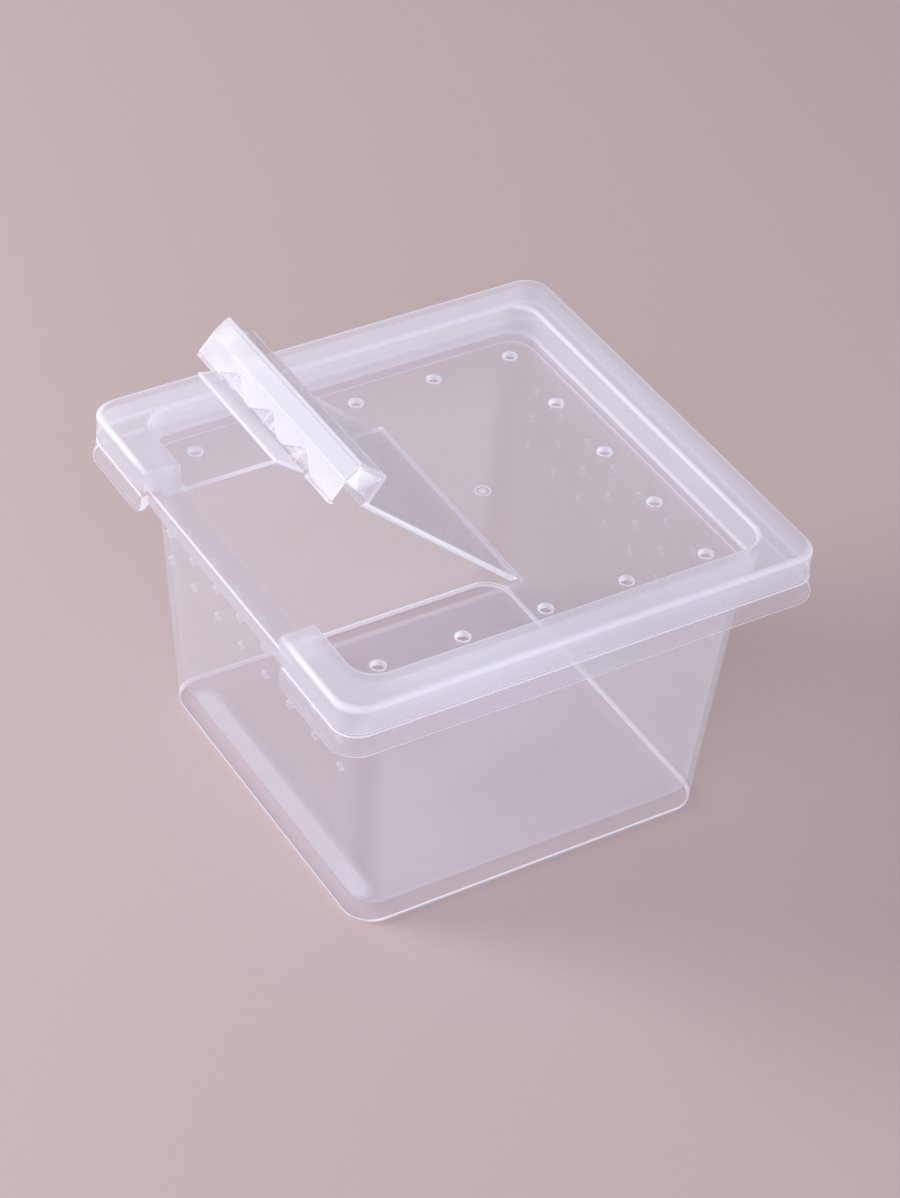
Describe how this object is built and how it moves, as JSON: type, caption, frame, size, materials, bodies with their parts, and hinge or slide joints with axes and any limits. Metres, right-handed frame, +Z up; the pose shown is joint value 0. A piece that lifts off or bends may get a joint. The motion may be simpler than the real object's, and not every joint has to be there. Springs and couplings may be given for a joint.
{
  "type": "pet keeper",
  "caption": "Square tapered tub of translucent plastic with a vented push-on lid and a flip-up hatch for keeping insects, spiders or small reptiles.",
  "frame": {"origin": "middle of the tub's foot, on the surface that the keeper stands on", "axes": "+Z up; -Y towards the hatch's finger lip and the finger recess; X along the hatch's hinge line"},
  "size_m": [0.1128, 0.1128, 0.1085],
  "materials": {
    "tub_plastic": "translucent, smooth",
    "lid_plastic": "translucent, satin"
  },
  "bodies": {
    "tub": {"tub": "tub_plastic"},
    "lid": {"lid": "lid_plastic", "living_hinge": "lid_plastic"},
    "hatch": {"hatch": "lid_plastic"}
  },
  "joints": [
    {"name": "lid_lift", "type": "slide", "parent": "tub", "child": "lid", "axis": [0, 0, 1], "range_m": [0, 0.03]},
    {"name": "hatch_hinge", "type": "hinge", "parent": "lid", "child": "hatch", "pos_m": [0, 0, 0.0675], "axis": [-1, 0, 0], "range_deg": [-41, 120]}
  ]
}
